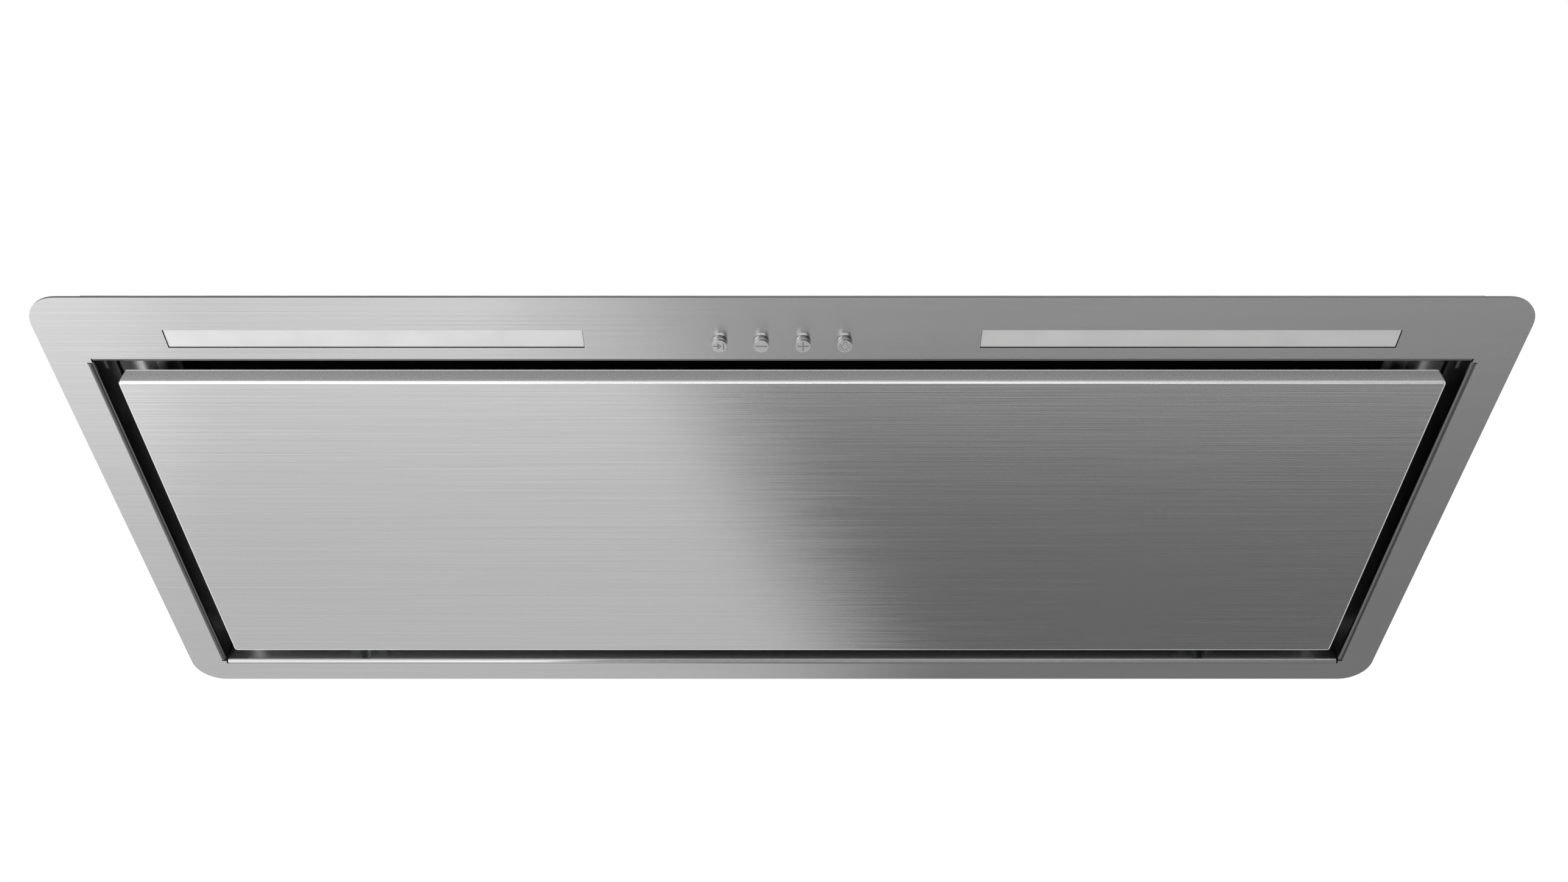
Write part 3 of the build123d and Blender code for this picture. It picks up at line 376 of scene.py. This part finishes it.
def pull(x=0.0, y=0.0, z=0.0):
    """Extrudes what is selected."""
    bpy.ops.mesh.extrude_region_move(TRANSFORM_OT_translate={"value": (x * MM, y * MM, z * MM)})


def scale_about(centre, value):
    """Scales what is selected about a point."""
    bpy.ops.transform.resize(value=value, center_override=[c * MM for c in centre])


def inset(thickness, depth=0.0):
    """Insets the selected faces as one, and raises or sinks what is inside the border."""
    bpy.ops.mesh.inset(thickness=thickness * MM, depth=depth * MM)


def leave_rounded(offset, segments=2):
    """Rounds the edges that are selected, and ends the shaping."""
    bpy.ops.mesh.bevel(offset=offset * MM, segments=segments)
    bpy.ops.object.mode_set(mode="OBJECT")


def close_ring(piece):
    """Joins a strip's two open rims to each other, and turns its faces outwards."""
    pick(piece, "EDGE", lambda e: e.is_boundary)
    bpy.ops.mesh.bridge_edge_loops()
    bpy.ops.mesh.select_all(action="SELECT")
    bpy.ops.mesh.normals_make_consistent(inside=False)
    bpy.ops.object.mode_set(mode="OBJECT")


def middle_of(edge):
    return (edge.verts[0].co + edge.verts[1].co) / 2


def rise_of(edge):
    """How far an edge climbs along Z, in metres."""
    return abs(edge.verts[0].co.z - edge.verts[1].co.z)


def box_mm(name):
    """A CAD node's lowest and highest corners."""
    return [[value / MM for value in corner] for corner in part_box(name)]


def copy_of(piece, change):
    """A copy with its own mesh, moved or turned by the matrix."""
    made = piece.copy()
    made.data = piece.data.copy()
    bpy.context.scene.collection.objects.link(made)
    made.data.transform(change)
    return made


def join(pieces):
    """Makes one mesh of the pieces, with the first one's name, and leaves it selected."""
    bpy.ops.object.select_all(action="DESELECT")
    for piece in pieces:
        piece.select_set(True)
    bpy.context.view_layer.objects.active = pieces[0]
    if len(pieces) > 1:
        bpy.ops.object.join()
    return pieces[0]


def dress(piece, material, body, slot, *replaced, smooth=35):
    """Gives a finished piece its material, and sets it on its body."""
    join([piece])
    bpy.ops.object.shade_smooth_by_angle(angle=radians(smooth))
    piece.data.materials.clear()
    piece.data.materials.append(material)
    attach(piece, body)
    if replaced:
        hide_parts(*replaced)


# Push buttons: turned caps with a groove round the middle, each on a square flange with a stem
button_y = -115.9
button_places = {"timer": -29.4, "minus": -9.8, "plus": 9.8, "lamp": 29.4}
button_tip = -5.4
cap_radius, ring_height = 3.5, 2.0
groove_share, groove_height = 0.925, 0.26
face_border, dish_slope, dish_depth = 0.16, 0.05, 0.07
flange_half, flange_low, flange_high = 4.5, 6.0, 7.2
stem_half, stem_low = 1.5, 7.0
mark_z = (button_tip + dish_depth, button_tip + 0.03)


def button_cap(name, x):
    centre = (x, button_y, 0)
    cap = disc("cap_" + name, x, button_y, button_tip + ring_height / 2, cap_radius, ring_height, 56)
    pick(cap, "FACE", lambda f: f.normal.z > 0.9)
    pull()
    scale_about(centre, (groove_share, groove_share, 1))
    pull(z=groove_height)
    pull()
    scale_about(centre, (1 / groove_share, 1 / groove_share, 1))
    pull(z=flange_low - button_tip - ring_height - groove_height)
    pick(cap, "FACE", lambda f: f.normal.z < -0.9 and f.calc_center_median().z < (button_tip + 0.5) * MM)
    inset(face_border)
    inset(dish_slope, -dish_depth)

    def on_rim(edge):
        at = middle_of(edge)
        reach = ((at.x - x * MM) ** 2 + (at.y - button_y * MM) ** 2) ** 0.5
        low_down = at.z < (button_tip + ring_height + 0.5) * MM
        return rise_of(edge) < 1e-6 and reach > 0.99 * cap_radius * MM and low_down

    pick(cap, "EDGE", on_rim)
    leave_rounded(0.07)
    flange = box_between("flange", (x - flange_half, x + flange_half),
                         (button_y - flange_half, button_y + flange_half), (flange_low, flange_high))
    leave_rounded(0.25)
    stem_top = box_mm(name)[1][2]
    stem = box_between("stem", (x - stem_half, x + stem_half), (button_y - stem_half, button_y + stem_half),
                       (stem_low, stem_top))
    pick(stem, "EDGE", lambda e: middle_of(e).z > (stem_top - 0.1) * MM)
    leave_rounded(0.5, segments=1)
    dress(join([cap, flange, stem]), button_steel, name, "polished_button", name)


for label, x in button_places.items():
    button_cap("button_" + label, x)


def mark_bar(name, x, y):
    bar = box_between(name, x, (button_y + y[0], button_y + y[1]), mark_z)
    pick(bar, "EDGE", lambda e: rise_of(e) > 1e-5)
    leave_rounded(0.1)
    return bar


def timer_mark(x):
    # an arrow that runs to a bar; the head is head_spread times as wide as the shaft, and tapers to the point
    shaft_half, head_spread, head_length, point = 0.3, 6.6, 2.05, 0.03
    arrow = box_between("timer_mark", (x - 3.0, x - 1.05), (button_y - shaft_half, button_y + shaft_half), mark_z)
    pick(arrow, "FACE", lambda f: f.normal.x > 0.9)
    pull()
    scale_about((x, button_y, 0), (1, head_spread, 1))
    pull(x=head_length)
    scale_about((x, button_y, 0), (1, point, 1))
    bpy.ops.object.mode_set(mode="OBJECT")
    return join([arrow, mark_bar("bar", (x + 1.63, x + 2.28), (-1.95, 1.95))])


def minus_mark(x):
    return mark_bar("minus_mark", (x - 2.72, x + 2.72), (-0.42, 0.42))


def plus_mark(x):
    half_x, half_y, arm = 0.4, 0.42, 2.32
    across = box_between("plus_mark", (x - half_x, x + half_x), (button_y - half_y, button_y + half_y), mark_z)

    def near_middle(face):
        at = face.calc_center_median() / MM
        return abs(at.x - x) < 0.5 and abs(at.y - button_y) < 0.5

    for axis, way in ((0, 1), (0, -1), (1, 1), (1, -1)):
        pick(across, "FACE", lambda f: way * f.normal[axis] > 0.9 and near_middle(f))
        pull(**{"xy"[axis]: way * arm})
    bpy.ops.object.mode_set(mode="OBJECT")
    return across


def lamp_mark(x):
    # the outline of a bulb with its cap to the front, and nine rays round its glass
    y = button_y + 0.3
    glass_radius, neck, cap_share, cap_length, line_width = 1.72, 0.75, 0.72, 0.7, 0.3
    ray_start, ray_end, ray_half = 2.08, 2.76, 0.18
    bulb = disc("lamp_mark", x, y, sum(mark_z) / 2, glass_radius, abs(mark_z[1] - mark_z[0]), 36)
    pick(bulb, "FACE", lambda f: f.normal.y < -0.8)
    pull(y=-neck)
    scale_about((x, y - 2.3, 0), (cap_share, 0.0, 1))
    pull(y=-cap_length)
    pick(bulb, "FACE", lambda f: abs(f.normal.z) > 0.9)
    inset(line_width)
    bpy.ops.mesh.delete(type="FACE")
    close_ring(bulb)
    rays = [bulb]
    for turn in range(-30, 211, 30):
        ray = box_between("ray", (x + ray_start, x + ray_end), (y - ray_half, y + ray_half), mark_z)
        bpy.ops.object.mode_set(mode="OBJECT")
        ray.data.transform(Matrix.Translation((x * MM, y * MM, 0)) @ Matrix.Rotation(radians(turn), 4, "Z")
                           @ Matrix.Translation((-x * MM, -y * MM, 0)))
        rays.append(ray)
    return join(rays)


for label, draw in {"timer": timer_mark, "minus": minus_mark, "plus": plus_mark, "lamp": lamp_mark}.items():
    dress(draw(button_places[label]), mark_paint, "button_" + label, "polished_button", smooth=20)


# Sheet-metal details of the body: pressed beads, lapped corners with spot welds, a lock seam and a rolled bead

def raised(name, box, axis, way, across, height=1.4, sink=0.3, soft=1.3, segments=3):
    """A pad on the face of a box that looks along the axis, up it for way 1 and down it for way -1. The pad
    is sunk a little into the sheet and its outer edges are rounded. Across gives its ends on the other axes."""
    face = box[way > 0][axis]
    ends = {**across, axis: (face - way * sink, face + way * height)}
    pad = box_between(name, ends[0], ends[1], ends[2])
    pick(pad, "EDGE", lambda e: all(abs(v.co[axis] - ends[axis][1] * MM) < 1e-6 for v in e.verts))
    leave_rounded(soft, segments)
    return pad


def spot_weld(x, y, z, way):
    """A dimpled disc on a side wall."""
    weld = disc("weld", x, y, z, 2.4, 0.3, 20, rotation=(0, radians(way * 90), 0))
    pick(weld, "FACE", lambda f: way * f.normal.x > 0.9)
    inset(0.7, -0.12)
    bpy.ops.object.mode_set(mode="OBJECT")
    return weld


def rolled_bead():
    # the bead that a clamp or tape pulls up against, rolled into the duct collar
    low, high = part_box("duct_collar")
    centre = ((low[0] + high[0]) / 2, (low[1] + high[1]) / 2)
    level = high[2] - 15 * MM
    bulge = 1.0285
    ring = begin("collar_bead", bpy.ops.mesh.primitive_cylinder_add, vertices=96, radius=74.9 * MM, depth=7 * MM,
                 end_fill_type="NOTHING", location=(*centre, level))
    pick(ring, "FACE", lambda f: True)
    bpy.ops.mesh.subdivide(number_cuts=1)
    pick(ring, "VERT", lambda v: abs(v.co.z - level) < 0.5 * MM)
    bpy.ops.transform.resize(value=(bulge, bulge, 1), center_override=(*centre, high[2]))
    pick(ring, "EDGE", lambda e: abs(middle_of(e).z - level) < 0.5 * MM and rise_of(e) < 1e-6)
    bpy.ops.mesh.bevel(offset=1.6 * MM, segments=4)
    close_ring(ring)
    return ring


tower, body = box_mm("motor_tower"), box_mm("body_box")
bead_half = 4

beads = []
for z in (112, 166, 220):
    for way in (-1, 1):
        up = (z - bead_half, z + bead_half)
        beads.append(raised("tower_beads", tower, 1, way, {0: (-128, 128), 2: up}))
        beads.append(raised("bead", tower, 0, way, {1: (-84, 84), 2: up}))
dress(join(beads), zinc_sheet, "hood_body", "galvanised_sheet")

beads = [raised("body_beads", body, 2, 1, {0: (x - bead_half, x + bead_half), 1: (-96, 96)})
         for x in (212, 255, 298)]
beads += [raised("bead", body, 2, 1, {0: (-310, -200), 1: (y - bead_half, y + bead_half)}) for y in (-84, 96)]
beads += [raised("bead", body, 1, way, {0: (-290, 290), 2: (50, 58)}) for way in (-1, 1)]
dress(join(beads), zinc_sheet, "hood_body", "galvanised_sheet")

laps, welds = [], []
for way in (-1, 1):
    side_x = body[way > 0][0]
    for end in (-1, 1):
        edge_y = body[end > 0][1]
        laps.append(raised("corner_laps", body, 0, way, {1: (edge_y, edge_y - end * 14), 2: (2, 69)},
                           height=0.8, sink=0.2, soft=0.4, segments=2))
        welds += [spot_weld(side_x + way * 0.85, edge_y - end * 7.5, z, way) for z in (14, 36, 58)]
dress(join(laps), zinc_sheet, "hood_body", "galvanised_sheet")
welds[0].name = "corner_spot_welds"
dress(join(welds), zinc_plate, "hood_body", "galvanised_sheet")

seam = raised("tower_lock_seam", tower, 1, 1, {0: (tower[0][0] + 3, tower[0][0] + 13),
                                               2: (tower[0][2] + 1, tower[1][2] - 1)},
              height=1.5, soft=0.8, segments=2)
dress(seam, zinc_sheet, "hood_body", "galvanised_sheet")
dress(rolled_bead(), zinc_sheet, "hood_body", "galvanised_sheet", smooth=50)


# Grease filters: expanded metal folded into pleats, two layers in each frame

def expanded_mesh(name, low, high):
    columns, rows, strand, pleat = 28, 52, 0.45, 1.8
    centre = [(low[i] + high[i]) / 2 for i in range(3)]
    sheet = begin(name, bpy.ops.mesh.primitive_grid_add, x_subdivisions=columns, y_subdivisions=rows, size=1,
                  location=centre)
    bpy.ops.transform.resize(value=(high[0] - low[0], high[1] - low[1], 1), center_override=centre)
    # every cell gets a centre, and the cell edges go, which leaves the long diamonds of expanded metal
    bpy.ops.mesh.poke()
    pick(sheet, "EDGE", lambda e: len(e.link_faces) == 2
         and min(abs(e.verts[0].co[i] - e.verts[1].co[i]) for i in (0, 1)) < 1e-6)
    bpy.ops.mesh.dissolve_edges(use_verts=False)
    # a pleat takes eight half rows: each step is moved by its share of the pleat's height
    half_row = (high[1] - low[1]) / (2 * rows)
    for step, share in ((0, -1), (1, -0.5), (3, 0.5), (4, 1), (5, 0.5), (7, -0.5)):
        pick(sheet, "VERT", lambda v: round((v.co.y - low[1]) / half_row) % 8 == step)
        bpy.ops.transform.translate(value=(0, 0, share * pleat * MM))
    bpy.ops.mesh.select_mode(type="FACE")
    bpy.ops.mesh.select_all(action="SELECT")
    bpy.ops.mesh.inset(thickness=strand * MM, use_individual=True)
    bpy.ops.mesh.delete(type="FACE")
    bpy.ops.object.mode_set(mode="OBJECT")
    wire = sheet.modifiers.new("wire", "SOLIDIFY")
    wire.thickness = 0.5 * MM
    wire.offset = 0
    bpy.ops.object.modifier_apply(modifier="wire")
    return sheet


layer_lift = 0.8 * MM
low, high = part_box("filter_mesh_left")
middle = [(low[i] + high[i]) / 2 for i in range(3)]
front_layer = expanded_mesh("grease_mesh_left", low, high)
# the back layer is a little smaller, so that its strands don't lie on the front one's
shrunk = (Matrix.Translation(middle) @ Matrix.Diagonal((0.97, 0.985, 1, 1))
          @ Matrix.Translation([-c for c in middle]))
back_layer = copy_of(front_layer, Matrix.Translation((0, 0, layer_lift)) @ shrunk)
front_layer.data.transform(Matrix.Translation((0, 0, -layer_lift)))
left_pad = join([front_layer, back_layer])
right_pad = copy_of(left_pad, Matrix.Translation((-2 * middle[0], 0, 0)))
right_pad.name = "grease_mesh_right"
dress(left_pad, black_mesh, "hood_body", "black_mesh", "filter_mesh_left")
dress(right_pad, black_mesh, "hood_body", "black_mesh", "filter_mesh_right")


# Screws: a hexagon head on its own washer, dished on top, modelled once and set wherever one sits

def hex_screw():
    washer_radius, washer_height = 3.6, 0.6
    head_radius, head_height, head_foot = 3.05, 1.6, 0.4
    washer = disc("hex_screw", 0, 0, washer_height / 2, washer_radius, washer_height, 32)
    pick(washer, "EDGE", lambda e: min(v.co.z for v in e.verts) > 0.5 * MM)
    leave_rounded(0.25)
    head = disc("head", 0, 0, head_foot + head_height / 2, head_radius, head_height, 6)
    pick(head, "FACE", lambda f: f.normal.z > 0.9)
    inset(0.7)
    inset(0.35, -0.35)
    pick(head, "EDGE", lambda e: min(v.co.z for v in e.verts) > 1.9 * MM and middle_of(e).xy.length > 2.5 * MM)
    leave_rounded(0.22)
    return join([washer, head])


screw = hex_screw()
upwards, downwards, sideways = Matrix(), Matrix.Rotation(pi, 4, "X"), Matrix.Rotation(pi / 2, 4, "Y")
# which way the heads point, and where their washers rest on the sheet, as in the CAD
screw_places = {
    "tower_screws": (upwards, [(x, y, 71.8) for x in (-171, 171) for y in (-69, 69)]),
    "lid_screws": (upwards, [(x, y, 113) for x in (-309, -201) for y in (-34, 64)]),
    "hinge_screws": (downwards, [(x, 115.5, 16.3) for x in (-258, -242, 242, 258)]),
    "bracket_screws": (sideways, [(58.8, 18.77, 185), (58.8, -74.77, 185), (58.8, -28, 104)]),
}
for label, (turn, places) in screw_places.items():
    heads = [copy_of(screw, Matrix.Translation([c * MM for c in place]) @ turn) for place in places]
    heads[0].name = "hex_" + label
    dress(join(heads), zinc_plate, "hood_body", "zinc_plated_steel", label)
bpy.data.objects.remove(screw)


# Studio; lengths are in metres

def hide_from(thing, *rays):
    """Takes a lamp or a card out of sight for these kinds of ray."""
    for kind in rays:
        setattr(thing, "visible_" + kind, False)


def lamp(name, place, angles, width, depth, radiance, beam=180.0):
    """A soft rectangular lamp, turned by the three angles from facing down; radiance is how bright it looks."""
    data = bpy.data.lights.new(name, "AREA")
    data.shape = "RECTANGLE"
    data.size = width
    data.size_y = depth
    data.energy = radiance * pi * width * depth
    data.spread = radians(beam)
    made = bpy.data.objects.new(name, data)
    bpy.context.scene.collection.objects.link(made)
    made.location = place
    made.rotation_euler = [radians(a) for a in angles]
    hide_from(made, "camera")
    return made


def level_rectangle(name, x, y, z):
    """A level rectangle between two ends on X and on Y."""
    bpy.ops.object.select_all(action="DESELECT")
    bpy.ops.mesh.primitive_plane_add(size=1, location=(sum(x) / 2, sum(y) / 2, z))
    made = bpy.context.object
    made.name = name
    made.scale = (x[1] - x[0], y[1] - y[0], 1)
    bpy.ops.object.transform_apply(location=True, scale=True)
    return made


def seen_by_eye(tree):
    """1 for what the camera sees, straight or by way of gloss or glass, and 0 for what only lights the hood."""
    rays = node(tree, "LightPath")
    seen = node(tree, "Math", {0: rays.outputs["Is Camera Ray"], 1: rays.outputs["Is Glossy Ray"]},
                operation="MAXIMUM")
    return node(tree, "Math", {0: seen, 1: rays.outputs["Is Transmission Ray"]}, operation="MAXIMUM")


world = bpy.data.worlds.new("studio")
bpy.context.scene.world = world
world.use_nodes = True
tree = world.node_tree
tree.nodes.clear()
ambient = node(tree, "Background", {"Color": (1, 1, 1, 1), "Strength": 0.5})
white = node(tree, "Background", {"Color": (1, 1, 1, 1), "Strength": 1.0})
node(tree, "OutputWorld", {"Surface": node(tree, "MixShader", {0: seen_by_eye(tree), 1: ambient, 2: white})})

# Rolled matt paint: a pale ground with hardly any cloud, which glows to white for the eye alone.
floor = level_rectangle("studio_floor", (-30, 30), (-30, 30), -1.5)
floor_paint, tree = new_material("matt_floor_paint")
cloud = node(tree, "TexNoise", {"Vector": node(tree, "TexCoord").outputs["Object"], "Scale": 1.5, "Detail": 3.0})
glow = node(tree, "Math", {0: seen_by_eye(tree), 1: 0.54}, operation="MULTIPLY")
shader = node(tree, "BsdfPrincipled", {"Base Color": tone_between(tree, cloud, 0.3, 0.7, "#E2E2E1", "#E8E8E7"),
                                       "Roughness": 0.85, "Emission Color": (1, 1, 1, 1),
                                       "Emission Strength": glow})
node(tree, "OutputMaterial", {"Surface": shader})
floor.data.materials.append(floor_paint)

# The cabinet that the hood is let into hides its body. A white card stands for it: it runs down from the
# frame's front edge towards the camera, narrows as the body does when seen from there, and is one-sided.
card_edge, card_depth, card_angle = -0.1412, 0.001, 50
card = level_rectangle("cabinet_card", (-0.33, 0.33), (card_edge - card_depth, card_edge), 0)
bpy.ops.object.mode_set(mode="EDIT")
pick(card, "EDGE", lambda e: middle_of(e).y < card_edge - 0.8 * card_depth)
# each step runs on by so many millimetres, and then narrows to a share of its width
for run, share in ((249.5, 0.59), (0, 0.49), (199, 0.42)):
    pull(y=-run)
    scale_about((0, 0, 0), (share, 1, 1))
bpy.ops.mesh.select_all(action="SELECT")
bpy.ops.mesh.normals_make_consistent(inside=False)
bpy.ops.object.mode_set(mode="OBJECT")
card.data.transform(Matrix.Translation((0, card_edge, 0.0002)) @ Matrix.Rotation(radians(card_angle), 4, "X")
                    @ Matrix.Translation((0, -card_edge, 0)))
card.data.update()
if card.data.polygons[0].normal.z > 0:
    card.data.flip_normals()
card_paper, tree = new_material("white_card")
lit = node(tree, "Emission", {"Color": (1, 1, 1, 1), "Strength": 1.0})
away = node(tree, "NewGeometry").outputs["Backfacing"]
paper = node(tree, "MixShader", {0: away, 1: lit, 2: node(tree, "BsdfTransparent")})
node(tree, "OutputMaterial", {"Surface": paper})
card.data.materials.append(card_paper)
hide_from(card, "diffuse", "glossy", "shadow", "transmission")


def reflected_card(name, x, y, tones):
    """A level card below the hood that shows in reflections only. Tones gives its one tone, or a tone for
    each of some places along Y."""
    made = level_rectangle(name, x, y, -1.3)
    paper, tree = new_material(name + "_paper")
    if isinstance(tones, dict):
        place = node(tree, "SeparateXYZ", {0: node(tree, "TexCoord").outputs["Object"]})
        along = node(tree, "MapRange", {"Value": place.outputs["Y"], "From Min": y[0], "From Max": y[1]})
        colour = node(tree, "ValToRGB", {0: along})
        stops = colour.color_ramp.elements
        while len(stops) < len(tones):
            stops.new(0.5)
        for stop, (at, tone) in zip(stops, sorted(tones.items())):
            stop.position = (at - y[0]) / (y[1] - y[0])
            stop.color = (tone, tone, tone, 1)
    else:
        colour = (tones, tones, tones, 1)
    node(tree, "OutputMaterial", {"Surface": node(tree, "Emission", {"Color": colour, "Strength": 1.0})})
    made.data.materials.append(paper)
    hide_from(made, "camera", "diffuse", "shadow", "transmission")


# Cards as used for photographing steel: a grey one whose tone falls to the rear, a dark one to the front
reflected_card("grey_card", (-2.5, 2.5), (0.5, 2.9), {0.75: 0.69, 1.0: 0.265, 1.3: 0.22, 1.65: 0.175, 1.9: 0.148})
reflected_card("dark_card", (-1.15, 2.5), (-2.2, 0.45), 0.12)

# Each lamp's place, its turn in degrees, its width and depth, and its radiance
lamp("softbox_left_low", (-0.593, 0.841, -0.6), (180, 0, -21.5), 1.25, 1.6, 0.56)
lamp("softbox_left_corner", (-0.95, 0.25, -0.61), (180, 0, 0), 0.6, 0.5, 0.26)
lamp("strip_below", (0.0, -0.27, -0.62), (180, 0, 0), 1.8, 0.3, 0.6, beam=78)
lamp("softbox_front_left", (-0.825, -0.43, -0.63), (180, 0, 0), 1.15, 0.9, 1.3)
fill = lamp("fill_front", (0.0, -1.1, -1.0), (135, 0, 0), 2.4, 0.5, 3.0)
hide_from(fill, "glossy")
lamp("softbox_top", (0.6, -0.85, 2.6), (-16, 12, 0), 3.2, 2.4, 0.85)

# The camera looks up at the hood from in front and below, as in the photograph
photo_width = 2576
camera_data = bpy.data.cameras.new("camera")
camera = bpy.data.objects.new("camera", camera_data)
bpy.context.scene.collection.objects.link(camera)
camera_data.lens = 30.38
camera_data.sensor_width = 36.0
camera_data.shift_x = 3 / photo_width
camera.location = (0.0, -0.5001, -0.4939)
camera.rotation_euler = (radians(90 + 47.73), 0, 0)
bpy.context.scene.camera = camera
bpy.context.scene.view_settings.view_transform = "Standard"
